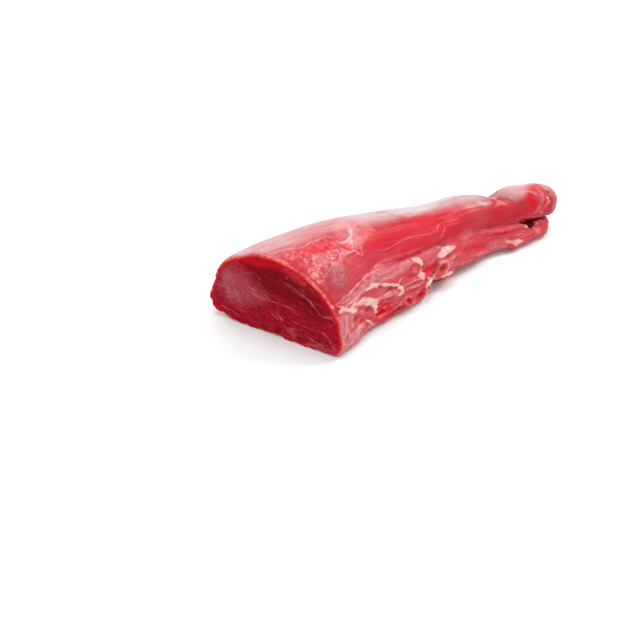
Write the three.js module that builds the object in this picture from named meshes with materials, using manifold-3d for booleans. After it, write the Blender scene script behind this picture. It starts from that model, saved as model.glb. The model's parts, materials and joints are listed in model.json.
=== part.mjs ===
// A trimmed beef tenderloin whose thick end has been cut off, lying on its flat side. Millimetres, +Z up.
// It is one piece of raw meat: the main muscle, which ends at the tail in a rounded lobe, and the side strap,
// which runs along its front and ends as a thin flap under the lobe.
// +X runs from the cut face to the tail, and the strap is on the -Y side.
import * as THREE from "three";
import { mergeVertices } from "three/addons/utils/BufferGeometryUtils.js";
import Module from "manifold-3d";

const wasm = await Module();
wasm.setup();

// Driving sizes. In what follows x is counted from the front corner of the cut face towards the tail, y from
// that corner towards the back, and z from the table.
const LENGTH = 225;
const CUT_WIDTH = 102;
const CUT_HEIGHT = 65;
const CUT_SLANT = 15; // degrees by which the knife's cut is off square
const STRAP_HEIGHT = 42.5;
const STRAP_THICKNESS = 20;
const LOBE_ROUND = 17; // length of the round end of the lobe
const FLAP_ROUND = 7;
const SLIT_LENGTH = 48;
const SLIT_DEPTH = 13;
const SLIT_GAP = 3.6;
const OVERRUN = 34; // how far the muscles start before the cut, to be sliced off
const TABLE_BITE = 1.2; // how far the rounded undersides sink below the table before they are pressed flat

// The muscles share their rings, so that they meet along an even seam. The rings lie closer together
// towards the tail, where there is more to shape.
const RINGS = 84;
const FLAP_RINGS_SHORT = 5; // how many rings sooner the flap ends
const RING_CROWDING = 0.4;

const radians = THREE.MathUtils.degToRad;

// A smooth curve through [x, value] pairs, level beyond its two ends.
function profile(...pairs) {
  const last = pairs.length - 1;
  const slope = (i) => {
    const before = pairs[Math.max(i - 1, 0)];
    const after = pairs[Math.min(i + 1, last)];
    return (after[1] - before[1]) / (after[0] - before[0]);
  };
  return (x) => {
    if (x <= pairs[0][0]) return pairs[0][1];
    if (x >= pairs[last][0]) return pairs[last][1];
    const i = pairs.findIndex(([station]) => station > x) - 1;
    const [x0, v0] = pairs[i];
    const [x1, v1] = pairs[i + 1];
    const span = x1 - x0;
    const t = (x - x0) / span;
    const bend = t * (1 - t) * span * ((1 - t) * slope(i) - t * slope(i + 1));
    return v0 + (v1 - v0) * t * t * (3 - 2 * t) + bend;
  };
}

// The same curve as shares of a size.
const shares = (size, ...pairs) => profile(...pairs.map(([x, share]) => [x, share * size]));

// A bell of height 1 at the middle, which has faded away at about twice its reach.
const bell = (distance, reach) => Math.exp(-((distance / reach) ** 2));

// The turn from one heading to another in degrees, the short way round.
const turnBetween = (from, to) => ((to - from + 540) % 360) - 180;

function stationAt(ring) {
  const share = ring / RINGS;
  return -OVERRUN + (LENGTH + OVERRUN) * share * (1 + RING_CROWDING * (1 - share));
}

// A closed strand of muscle from the first ring to the last, pointed before the cut and round for endRound
// at the tail. section(x, angle) is the point of its outline there, where angle 0 is the back, a quarter turn
// the top and a half turn the front, and middle(x) is the point that the round end closes on.
function strand({ around, rings, endRound, middle, section }) {
  const geometry = new THREE.SphereGeometry(1, around, rings);
  const { position, uv } = geometry.attributes;
  for (let i = 0; i < position.count; i++) {
    const ring = Math.round((1 - uv.getY(i)) * rings);
    const angle = Math.PI * (1.5 - 2 * uv.getX(i));
    const x = stationAt(ring);
    const intoEnd = Math.max(0, 1 - (stationAt(rings) - x) / endRound);
    const girth = ring === 0 ? 0 : Math.sqrt(1 - intoEnd ** 2);
    const centre = middle(x);
    const outline = section(x, angle);
    const y = centre.y + (outline.y - centre.y) * girth;
    const z = centre.z + (outline.z - centre.z) * girth;
    position.setXYZ(i, x, y, z);
  }
  return geometry;
}

// One point of a round section whose corners are fuller (power over 2) or leaner (under 2) than an ellipse.
function roundSection(angle, y, z, halfWidth, halfHeight, power) {
  const c = Math.cos(angle);
  const s = Math.sin(angle);
  return {
    y: y + halfWidth * Math.sign(c) * Math.abs(c) ** (2 / power),
    z: z + halfHeight * Math.sign(s) * Math.abs(s) ** (2 / power),
  };
}

const solidFrom = (geometry) => {
  geometry.deleteAttribute("normal");
  geometry.deleteAttribute("uv");
  const merged = mergeVertices(geometry);
  return new wasm.Manifold(
    new wasm.Mesh({
      numProp: 3,
      vertProperties: merged.attributes.position.array,
      triVerts: new Uint32Array(merged.index.array),
    }),
  );
};

const geometryFrom = (solid) => {
  const { vertProperties, triVerts } = solid.getMesh();
  return new THREE.BufferGeometry()
    .setAttribute("position", new THREE.BufferAttribute(vertProperties, 3))
    .setIndex(new THREE.BufferAttribute(triVerts, 1));
};

// Swellings and hollows of the main muscle: where the middle is, how far each reaches along and round
// (in degrees), and by how much it stands out.
const MUSCLE_RELIEF = [
  { x: -22, angle: 62, long: 34, wide: 9, out: -1.9 },
  { x: 0, angle: 150, long: 20, wide: 30, out: 1.7 },
  { x: 30, angle: 24, long: 46, wide: 10, out: -1.6 },
  { x: 52, angle: 66, long: 30, wide: 14, out: 0.9 },
  { x: 74, angle: 128, long: 22, wide: 12, out: -0.9 },
  { x: 96, angle: 18, long: 30, wide: 14, out: 1.4 },
  { x: 98, angle: 195, long: 6, wide: 30, out: -2.5 },
  { x: 118, angle: 138, long: 36, wide: 10, out: 0.9 },
  { x: 128, angle: 42, long: 30, wide: 12, out: -1.2 },
  { x: 180, angle: 60, long: 5.5, wide: 26, out: -3.8 },
  { x: 202, angle: 172, long: 6, wide: 22, out: -1.6 },
];

// Creases across the back where the muscle narrows. x is where each crosses the ridge of the back, and lean
// how far it shifts towards the tail for each degree further to the front.
const WAIST_CREASES = [
  { x: 168, lean: 0.2, reach: 2.2, depth: 0.9 },
  { x: 176.7, lean: 0.1, reach: 2.6, depth: 2 },
];

// Rings round the tip of the lobe, where the meat is rolled in.
const LOBE_RINGS = [
  { inFromEnd: 7.5, reach: 1.7, depth: 1.6 },
  { inFromEnd: 13, reach: 1.8, depth: 0.9 },
];

function muscleRelief(x, angle) {
  const degrees = THREE.MathUtils.radToDeg(angle);
  const onTop = bell(turnBetween(80, degrees), 50);
  const inFront = bell(turnBetween(150, degrees), 75);
  let out = 0;
  for (const bump of MUSCLE_RELIEF) {
    out += bump.out * bell(x - bump.x, bump.long) * bell(turnBetween(bump.angle, degrees), bump.wide);
  }
  for (const crease of WAIST_CREASES) {
    const line = crease.x + crease.lean * turnBetween(90, degrees);
    out -= crease.depth * bell(x - line, crease.reach) * onTop;
  }
  for (const ring of LOBE_RINGS) {
    out -= ring.depth * bell(LENGTH - ring.inFromEnd - x, ring.reach) * inFront;
  }
  return out;
}

// The main muscle: a dome on a flat foot behind the cut, which narrows to a waist and swells again into the
// lobe at the tail, clear of the table. These are its outlines seen from above and from the side.
function mainMuscle() {
  const front = profile(
    [0, 0],
    [25, 5],
    [60, 7],
    [110, 9],
    [150, 8],
    [170, 4.5],
    [185, -2.5],
    [200, -8],
    [214, -10],
  );
  const back = shares(
    CUT_WIDTH,
    [-OVERRUN, 0.97],
    [0, 0.945],
    [50, 0.85],
    [100, 0.7],
    [140, 0.554],
    [165, 0.441],
    [185, 0.314],
    [200, 0.24],
    [214, 0.206],
  );
  const top = shares(
    CUT_HEIGHT,
    [0, 1],
    [50, 0.925],
    [100, 0.772],
    [125, 0.682],
    [140, 0.665],
    [152, 0.665],
    [165, 0.63],
    [178, 0.595],
    [187, 0.658],
    [197, 0.645],
    [207, 0.6],
    [216, 0.577],
  );
  const bottom = profile([168, -TABLE_BITE], [180, 6], [190, 12], [200, 14], [217, 13.5]);
  const widest = profile([100, 12], [150, 14], [175, 18], [200, 26]);
  const frontPower = profile([0, 1.9], [60, 1.7], [150, 2]);
  const backPower = profile([0, 2.4], [60, 2.2], [150, 2.2], [200, 2]);
  const footPower = profile([150, 2.9], [190, 2.6]);
  const middle = (x) => ({ y: (front(x) + back(x)) / 2, z: widest(x) });
  return strand({
    around: 54,
    rings: RINGS,
    endRound: LOBE_ROUND,
    middle,
    section: (x, angle) => {
      const { y, z } = middle(x);
      const out = muscleRelief(x, angle);
      const halfWidth = (back(x) - front(x)) / 2 + out;
      if (Math.sin(angle) < 0) return roundSection(angle, y, z, halfWidth, z - bottom(x), footPower(x));
      const power = Math.cos(angle) < 0 ? frontPower(x) : backPower(x);
      return roundSection(angle, y, z, halfWidth, top(x) - z + out, power);
    },
  });
}

// Lumps (out over 0) and gaps of the strap, where it was pulled and trimmed by hand: the place on its face,
// how far each reaches along and up, how far it leans towards the tail for each mm up, and how far it stands
// out. The gaps at x = 98 and 99 part the strap's two larger lobes.
const STRAP_LUMPS = [
  { x: 20, z: 6, long: 16, high: 5.5, lean: 0, out: 2.2 },
  { x: 27, z: 16, long: 19, high: 3.6, lean: 0, out: -2.2 },
  { x: 43, z: 18, long: 5, high: 4, lean: 1, out: 2.2 },
  { x: 52, z: 23, long: 5, high: 4, lean: 1, out: 1.5 },
  { x: 60, z: 9, long: 6, high: 5, lean: 0, out: -2 },
  { x: 73, z: 10, long: 4.5, high: 5, lean: 0, out: 2.4 },
  { x: 88, z: 10, long: 7, high: 9, lean: 0.4, out: 3.6 },
  { x: 98, z: 13, long: 4, high: 11, lean: 0.3, out: -4.2 },
  { x: 99, z: 3, long: 4.5, high: 7, lean: 0, out: -8 },
  { x: 108, z: 11, long: 8, high: 9, lean: 0, out: 3.6 },
  { x: 111, z: 24, long: 6, high: 4, lean: 0, out: 1.4 },
  { x: 126, z: 12, long: 5, high: 9, lean: 0.5, out: -1.6 },
  { x: 142, z: 7, long: 14, high: 4.5, lean: 0, out: 1.4 },
  { x: 156, z: 15, long: 26, high: 3.2, lean: -3, out: -1.3 },
  { x: 177, z: 4, long: 4.5, high: 4.5, lean: 0, out: 4.2 },
];

const strapRelief = (x, z) =>
  STRAP_LUMPS.reduce((out, lump) => {
    const up = z - lump.z;
    return out + lump.out * bell(x - lump.x - lump.lean * up, lump.long) * bell(up, lump.high);
  }, 0);

// The side strap (the chain): a thick slab on edge, which leans back against the muscle above its middle.
function sideStrap() {
  const front = profile(
    [-OVERRUN, 3],
    [0, 0],
    [14, 2.5],
    [40, 4.5],
    [70, 2.5],
    [97, 5],
    [115, 5],
    [139, 4],
    [160, 3.5],
    [175, -1.5],
    [190, -5.5],
    [208, -7.8],
  );
  const top = shares(
    STRAP_HEIGHT,
    [-OVERRUN, 0.8],
    [0, 0.82],
    [20, 0.93],
    [38, 1],
    [54, 0.99],
    [71, 0.93],
    [87, 0.87],
    [109, 0.8],
    [124, 0.753],
    [149, 0.66],
    [168, 0.61],
    [190, 0.47],
    [208, 0.4],
  );
  const thickness = shares(STRAP_THICKNESS, [0, 0.9], [60, 1], [170, 1], [190, 1.15]);
  const lean = profile([0, 0.2], [40, 0.28], [120, 0.22], [190, 0]);
  const slabPower = profile([150, 2.6], [195, 2.1]);
  const middleHeight = 0.4;
  const middle = (x) => ({ y: front(x) + thickness(x) / 2, z: top(x) * middleHeight });
  return strand({
    around: 26,
    rings: RINGS - FLAP_RINGS_SHORT,
    endRound: FLAP_ROUND,
    middle,
    section: (x, angle) => {
      const { y, z } = middle(x);
      const halfHeight = Math.sin(angle) < 0 ? z + TABLE_BITE : top(x) - z;
      const point = roundSection(angle, y, z, thickness(x) / 2, halfHeight, slabPower(x));
      const facing = Math.max(0, -Math.cos(angle));
      point.y += lean(x) * Math.max(0, point.z - z) - strapRelief(x, point.z) * facing;
      return point;
    },
  });
}

// Flat lumps of meat low down at the back, beside the cut and further along. size is the half length along
// x, y and z, and turn the heading in degrees.
const BACK_LUMPS = [
  { at: [-16, 93, 15], size: [30, 8, 9], turn: -6 },
  { at: [62, 78, 8], size: [34, 8, 7], turn: -17 },
];

function backLump({ at, size, turn }) {
  const lump = new THREE.SphereGeometry(1, 20, 12);
  lump.scale(...size);
  lump.rotateZ(radians(turn));
  lump.translate(...at);
  return lump;
}

// The slit between the lobe and the flap: what a thin round blade takes out, open to the front and the tail.
function lobeSlit() {
  const blade = new THREE.SphereGeometry(1, 28, 14);
  blade.scale(SLIT_LENGTH / 2, SLIT_DEPTH, SLIT_GAP / 2);
  blade.rotateY(radians(13));
  blade.translate(198, -8, 20);
  return blade;
}

// A block much larger than the meat, on the -X side of the origin, turned about the origin.
function cutaway(turn) {
  const size = 600;
  const block = new THREE.BoxGeometry(size, size, size);
  block.translate(-size / 2, 0, 0);
  block.applyQuaternion(new THREE.Quaternion().setFromEuler(turn));
  return block;
}

const beyondTheCut = () => cutaway(new THREE.Euler(0, 0, radians(CUT_SLANT)));
const belowTheTable = () => cutaway(new THREE.Euler(0, radians(-90), 0));

// The whole piece, moved so that the origin is on the table under the middle of its box.
function tenderloin() {
  const grown = [mainMuscle(), sideStrap(), ...BACK_LUMPS.map(backLump)].map(solidFrom);
  const removed = [lobeSlit(), beyondTheCut(), belowTheTable()].map(solidFrom);
  const whole = grown.reduce((sum, piece) => sum.add(piece));
  const geometry = geometryFrom(removed.reduce((rest, away) => rest.subtract(away), whole));
  geometry.computeBoundingBox();
  const centre = geometry.boundingBox.getCenter(new THREE.Vector3());
  geometry.translate(-centre.x, -centre.y, -geometry.boundingBox.min.z);
  return geometry;
}

const rawMeat = new THREE.MeshStandardMaterial({ color: 0xb3202f, roughness: 0.38, metalness: 0 });

const group = new THREE.Group();
const mesh = new THREE.Mesh(tenderloin(), rawMeat);
mesh.name = "tenderloin";
group.add(mesh);

export default group;
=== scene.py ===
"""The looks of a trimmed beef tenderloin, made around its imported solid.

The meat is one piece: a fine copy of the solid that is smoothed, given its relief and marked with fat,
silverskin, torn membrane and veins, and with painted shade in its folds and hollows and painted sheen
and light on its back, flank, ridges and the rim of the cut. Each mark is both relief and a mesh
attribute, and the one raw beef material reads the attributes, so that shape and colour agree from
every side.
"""
import json
import logging
import math
from dataclasses import dataclass
from enum import Enum

import bpy
import numpy as np
from mathutils import Matrix, Vector, noise

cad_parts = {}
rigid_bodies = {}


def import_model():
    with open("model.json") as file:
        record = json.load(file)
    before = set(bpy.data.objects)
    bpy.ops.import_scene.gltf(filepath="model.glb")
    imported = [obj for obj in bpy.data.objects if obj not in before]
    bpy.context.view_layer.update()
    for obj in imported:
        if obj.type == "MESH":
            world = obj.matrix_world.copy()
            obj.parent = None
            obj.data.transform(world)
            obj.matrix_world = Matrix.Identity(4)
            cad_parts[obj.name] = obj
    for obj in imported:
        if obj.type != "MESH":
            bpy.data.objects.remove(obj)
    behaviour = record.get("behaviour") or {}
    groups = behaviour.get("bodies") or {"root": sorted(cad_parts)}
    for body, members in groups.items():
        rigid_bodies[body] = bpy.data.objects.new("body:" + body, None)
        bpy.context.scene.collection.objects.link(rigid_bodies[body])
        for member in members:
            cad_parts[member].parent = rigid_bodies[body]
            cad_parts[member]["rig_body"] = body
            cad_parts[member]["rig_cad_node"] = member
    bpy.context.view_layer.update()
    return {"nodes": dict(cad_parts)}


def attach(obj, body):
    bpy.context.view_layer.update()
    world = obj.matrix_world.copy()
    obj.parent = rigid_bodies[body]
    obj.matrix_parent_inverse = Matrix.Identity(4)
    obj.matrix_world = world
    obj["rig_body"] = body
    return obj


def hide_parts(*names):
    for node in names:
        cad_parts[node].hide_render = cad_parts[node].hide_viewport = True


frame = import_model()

LOG = logging.getLogger("tenderloin")

Pixel = tuple[float, float]
Triple = tuple[float, float, float]
Colour = Triple
Socket = bpy.types.NodeSocket

MM = 0.001
LENGTH = 225.0  # mm from the front corner of the cut to the tip of the tail
SLANT = math.radians(15.0)  # the angle by which the knife's cut is off square
CUT_NORMAL = np.array([-math.cos(SLANT), -math.sin(SLANT), 0.0])  # the way that the cut face looks
PICTURE = 640  # pixels each way in the photograph's frame
FLOW = "flow"  # the mesh attribute that holds the coordinates along and across the fibres
TINY = 1e-9  # the least that a length is divided by


def ramp(values: np.ndarray, low: float, high: float) -> np.ndarray:
    """Rises smoothly from 0 where a value is low to 1 where it is high.

    Args:
        values: Any numbers.
        low: The value that gives 0.
        high: The value that gives 1; it may be less than low.

    Returns:
        Numbers from 0 to 1, one for each value.
    """
    share = np.clip((values - low) / (high - low), 0.0, 1.0)
    return share * share * (3.0 - 2.0 * share)


@dataclass(frozen=True)
class Ripple:
    """Soft random waves in space.

    Attributes:
        size: The length of a wave along x, y and z in mm.
        seed: Which waves; each seed has its own.
    """

    size: Triple
    seed: int

    def at(self, points: np.ndarray) -> np.ndarray:
        """Works out the waves.

        Args:
            points: Places in mm, one row each.

        Returns:
            Numbers from about -1 to 1, one for each place.
        """
        shift = np.array([17.3, 5.9, 11.1]) * (self.seed + 1)
        places = (points / np.array(self.size) + shift).tolist()
        return np.array([noise.noise(place) for place in places])


STREAKS = Ripple((38.0, 3.4, 3.4), 1)  # long ridges along the fibres
THREADS = Ripple((20.0, 1.8, 1.8), 2)  # finer ones
CLOUDS = Ripple((26.0, 12.0, 12.0), 3)
LUMPS = Ripple((8.0, 6.0, 5.0), 4)
PITS = Ripple((2.4, 2.4, 2.2), 5)
CUT_GRAIN = Ripple((1.8, 2.4, 1.8), 6)
CUT_SWELLS = Ripple((6.0, 9.0, 4.0), 7)
RIM_BENDS = Ripple((6.0, 6.0, 6.0), 8)
SHREDS = Ripple((14.0, 2.6, 2.6), 9)
RIM_STEPS = Ripple((9.0, 9.0, 9.0), 10)
FINE_RIM_STEPS = Ripple((4.0, 4.0, 4.0), 11)
RIM_WEAR = Ripple((14.0, 14.0, 14.0), 12)
MARK_WAVES = ((6.0, 1.0), (2.4, 0.5))  # how marks waver: mm from wave to wave, pixels of shift
MARK_SEEDS = (31, 32)  # for the shift across and the shift down


@dataclass(frozen=True)
class Relief:
    """How high the waves of the surface are, in mm.

    Attributes:
        fibre: The ridges and threads of the fibres.
        back_streak: What the back adds to the ridges.
        back_thread: What it adds to the threads.
        lump: The lumps of the side strap.
        pit: The pits of the strap and of torn membrane.
        shred: The shreds of the strap.
        torn_lump: The lumps of torn membrane.
        hidden_fat: The fat low on the back.
        rim_step: The steps of the cut's rim.
        cut_grain: The grain of the cut.
        cut_swell: Its broader waves.
    """

    fibre: float = 0.1
    back_streak: float = 0.16
    back_thread: float = 0.06
    lump: float = 1.2
    pit: float = 0.4
    shred: float = 0.8
    torn_lump: float = 0.12
    hidden_fat: float = 0.3
    rim_step: float = 2.1
    cut_grain: float = 0.1
    cut_swell: float = 0.2


@dataclass(frozen=True)
class PhotoView:
    """The photograph's camera, in mm from the front corner of the cut.

    Attributes:
        azimuth: Where the camera looks, in degrees; 0 is along +Y.
        elevation: How far it looks down, in degrees.
        focal: The focal length in pixels.
        corner_pixel: Where the front corner of the cut meets the table in the photograph.
        pixels_per_mm: The scale at that corner.
        sensor: The width of the scene camera's sensor in mm.
        nearest: The least distance that the scene camera shows, in metres.
    """

    azimuth: float = -45.0
    elevation: float = 38.0
    focal: float = 1650.0
    corner_pixel: Pixel = (341.0, 360.0)
    pixels_per_mm: float = 1.5
    sensor: float = 36.0
    nearest: float = 0.01

    def axes(self) -> np.ndarray:
        """Returns the camera's right, up and back directions, one row each."""
        turn = math.radians(self.azimuth)
        lift = math.radians(self.elevation)
        right = np.array([math.cos(turn), math.sin(turn), 0.0])
        back = np.array([math.sin(turn) * math.cos(lift), -math.cos(turn) * math.cos(lift), math.sin(lift)])
        return np.array([right, np.cross(back, right), back])

    def place(self) -> np.ndarray:
        """Returns the camera's place in mm from the front corner of the cut."""
        right, up, back = self.axes()
        depth = self.focal / self.pixels_per_mm
        across = (self.corner_pixel[0] - PICTURE / 2) / self.focal
        down = (self.corner_pixel[1] - PICTURE / 2) / self.focal
        return depth * (back - right * across + up * down)

    def pixels(self, points: np.ndarray) -> np.ndarray:
        """Returns where places in mm, one row each, are seen in the photograph."""
        right, up, back = self.axes()
        away = points - self.place()
        depth = -away @ back
        across = PICTURE / 2 + self.focal * (away @ right) / depth
        down = PICTURE / 2 - self.focal * (away @ up) / depth
        return np.stack([across, down], axis=1)

    def build(self, corner: np.ndarray) -> None:
        """Adds the scene's camera.

        Args:
            corner: The front corner of the cut in the frame, in metres.
        """
        bpy.ops.object.camera_add()
        camera = bpy.context.object
        camera.name = "photo_camera"
        camera.data.sensor_width = self.sensor
        camera.data.lens = self.focal * self.sensor / PICTURE
        camera.data.clip_start = self.nearest
        turned = Matrix([Vector(axis) for axis in self.axes()]).transposed().to_4x4()
        camera.matrix_world = Matrix.Translation(Vector(corner + self.place() * MM)) @ turned
        bpy.context.scene.camera = camera


class Layer(Enum):
    """What a mark is made of, or the painted light or shade that it brings. The value names the mesh
    attribute that holds how much of it there is.
    """

    FAT = "fat"
    # silverskin, which over the back also stands in for a painted sheen
    SILVERSKIN_AND_SHEEN = "silverskin"
    RAW = "raw_red"
    # painted shade in folds, pits, slits and hollows, and over parts that lie in shade
    SHADE = "shade"
    # thin membrane; on the cut, a painted sheen and the underside seen at its corner
    PURPLE = "purple"
    # veins, lines and edges of membrane, and painted light on ridges
    PALE = "pale"
    CUT = "cut"
    # the band inside the cut's edge; its bright red is partly a painted glow of light through the rounded rim
    RIM = "rim"
    # the rolled edge of the cut; its light coral is partly painted light, wider where the edge faces up
    EDGE = "edge"
    MOTTLE = "mottle"
    STRAP = "strap"


class Side(Enum):
    """The surface that a mark lies on."""

    OUTSIDE = "outside"
    CUT = "cut"


@dataclass(frozen=True)
class Mark:
    """A line or patch on the meat, drawn in the photograph's frame.

    Attributes:
        name: What it is.
        layer: What it is made of, or the painted light or shade that it brings.
        points: The pixels that its line runs through, or those round its edge.
        width: How wide the line is, or how soft the patch's edge is, in pixels.
        strength: How much of the layer it brings, from 0 to 1.
        relief: How far it stands out in mm, or sinks in when it is less than 0.
        patch: Whether the points go round a patch.
        side: The surface that it lies on.
    """

    name: str
    layer: Layer
    points: tuple[Pixel, ...]
    width: float
    strength: float = 1.0
    relief: float = 0.0
    patch: bool = False
    side: Side = Side.OUTSIDE

    def path(self) -> np.ndarray:
        """Returns a smooth path through the points, one pixel place a row."""
        steps = 6
        points = np.array(self.points)
        if self.patch:
            ends = np.vstack([points[-1:], points, points[:2]])
        else:
            ends = np.vstack([2 * points[:1] - points[1:2], points, 2 * points[-1:] - points[-2:-1]])
        rows = []
        for before, start, stop, after in zip(ends, ends[1:], ends[2:], ends[3:]):
            for t in np.arange(steps) / steps:
                bend = (2 * before - 5 * start + 4 * stop - after) * t**2
                twist = (3 * start - before - 3 * stop + after) * t**3
                rows.append(start + 0.5 * ((stop - before) * t + bend + twist))
        rows.append(ends[-2])
        return np.array(rows)

    def weight(self, pixels: np.ndarray) -> np.ndarray:
        """Says how much of the mark lies at each place.

        Args:
            pixels: Where the places are seen in the photograph, one row each.

        Returns:
            Numbers from 0 to the mark's strength.
        """
        path = self.path()
        reach = self.width + 2.0
        near = np.all((pixels > path.min(0) - reach) & (pixels < path.max(0) + reach), axis=1)
        result = np.zeros(len(pixels))
        places = pixels[near]
        nearest = np.full(len(places), np.inf)
        share = np.zeros(len(places))
        inside = np.zeros(len(places), bool)
        spans = len(path) - 1
        for number, (start, stop) in enumerate(zip(path, path[1:])):
            along = stop - start
            t = np.clip((places - start) @ along / max(along @ along, TINY), 0.0, 1.0)
            distance = np.linalg.norm(places - start - t[:, None] * along, axis=1)
            closer = distance < nearest
            nearest[closer] = distance[closer]
            share[closer] = ((number + t) / spans)[closer]
            crosses = (start[1] > places[:, 1]) != (stop[1] > places[:, 1])
            level = (places[:, 1] - start[1]) / (along[1] if abs(along[1]) > TINY else TINY)
            inside ^= crosses & (places[:, 0] < start[0] + level * along[0])
        if self.patch:
            result[near] = ramp(np.where(inside, -nearest, nearest), self.width, -self.width)
        else:
            soft_edge = 0.7
            taper = np.sin(np.pi * np.clip(share, 0.02, 0.98)) ** 0.5
            uneven = 0.9 + 0.2 * np.sin(0.8 * share * spans + self.points[0][0])
            result[near] = ramp(nearest - 0.5 * self.width * taper * uneven, soft_edge, -soft_edge)
        return result * self.strength


def lines(layer: Layer, *rows: tuple, side: Side = Side.OUTSIDE, patch: bool = False) -> tuple[Mark, ...]:
    """Makes marks of one kind.

    Args:
        layer: What they are made of, or the painted light or shade that they bring.
        rows: For each its name, points and width, and then its strength and relief where it needs them.
        side: The surface that they lie on.
        patch: Whether they are patches.

    Returns:
        The marks.
    """
    return tuple(Mark(name, layer, points, *sizes, patch=patch, side=side) for name, points, *sizes in rows)


def patches(layer: Layer, *rows: tuple, side: Side = Side.OUTSIDE) -> tuple[Mark, ...]:
    """Returns marks that are patches, from the same rows as lines."""
    return lines(layer, *rows, side=side, patch=True)


@dataclass(frozen=True)
class Furrow:
    """A fold that runs slantwise over the back, in mm.

    Attributes:
        station: How far along it starts, level with the front corner of the cut.
        slant: How far it comes back towards the cut for each mm across.
        depth: How deep it is.
        width: Half its width.
        start: How far across it begins.
        fade: How far either side of its beginning it grows to its depth.
    """

    station: float
    slant: float
    depth: float
    width: float
    start: float = -20.0
    fade: float = 3.0

    def relief(self, along: np.ndarray, across: np.ndarray) -> np.ndarray:
        """Returns how far the surface moves out, which is less than 0 in the fold.

        Args:
            along: How far along each place is.
            across: How far across each place is.
        """
        off = (along + self.slant * across - self.station) / self.width
        begun = ramp(across, self.start - self.fade, self.start + self.fade)
        return -self.depth * np.exp(-0.5 * off * off) * begun


FURROWS = (
    Furrow(179.0, 0.5, 0.2, 2.0),
    Furrow(185.5, 0.4, 1.0, 2.1),
    Furrow(182.8, 0.0, 2.4, 2.4, start=22.0),
)
FOOT_TUCK = ((88, 0.0), (100, 3.2), (132, 3.2), (150, 1.6), (172, 1.0), (185, 0.0))  # mm along, mm tucked in
STRAP_TOP = (  # mm along, mm high
    (0, 35), (20, 39), (38, 42), (54, 41), (87, 36), (124, 31), (168, 25), (208, 17),
)

# The film patches are silverskin together with a painted sheen, whitest where the sheen is brightest.
BACK_MARKS = patches(
    Layer.SILVERSKIN_AND_SHEEN,
    ("white film", ((326, 219), (345, 207), (362, 202), (401, 195), (440, 188), (473, 185), (492, 190),
     (484, 201), (466, 205), (440, 209.5), (410, 215), (388, 220.5), (368, 223), (348, 221)), 6.0, 0.86),
    ("whitest film", ((383, 208), (401, 202), (425, 198), (448, 194), (456, 196), (452, 203), (440, 207),
     (425, 212), (410, 216.5), (400, 215.5), (390, 212)), 3.0),
    ("thin film", ((225, 256), (262, 238), (300, 224), (335, 212), (352, 222), (330, 231), (300, 241),
     (275, 248), (250, 254)), 7.0, 0.57),
) + lines(
    Layer.SHADE,
    ("fold of the film", ((374, 210.5), (385, 212.3), (393, 215), (402, 218.5)), 1.5, 0.22, -0.4),
    ("grey line", ((283, 236), (298, 231.5), (314, 228), (332, 223)), 1.3, 0.22, -0.15),
    ("second grey line", ((262, 248), (279, 242), (296, 236.5)), 1.2, 0.18, -0.12),
    ("third grey line", ((300, 238), (316, 234), (330, 229)), 1.2, 0.16, -0.1),
)


def film_streak(number: int) -> tuple:
    """Says what one of the thin streaks is that lie side by side on the film.

    Args:
        number: Which one, from 0 at the left.

    Returns:
        Its row for lines.
    """
    across = 8 * number
    points = (
        (345 + across, 215.5 - number),
        (360 + across, 217.5 - number),
        (374 + across, 222.5 - 0.3 * number),
    )
    return f"film streak {number}", points, 1.2, 0.11, -0.08


FILM_STREAKS = lines(Layer.SHADE, *(film_streak(number) for number in range(5)))

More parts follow.
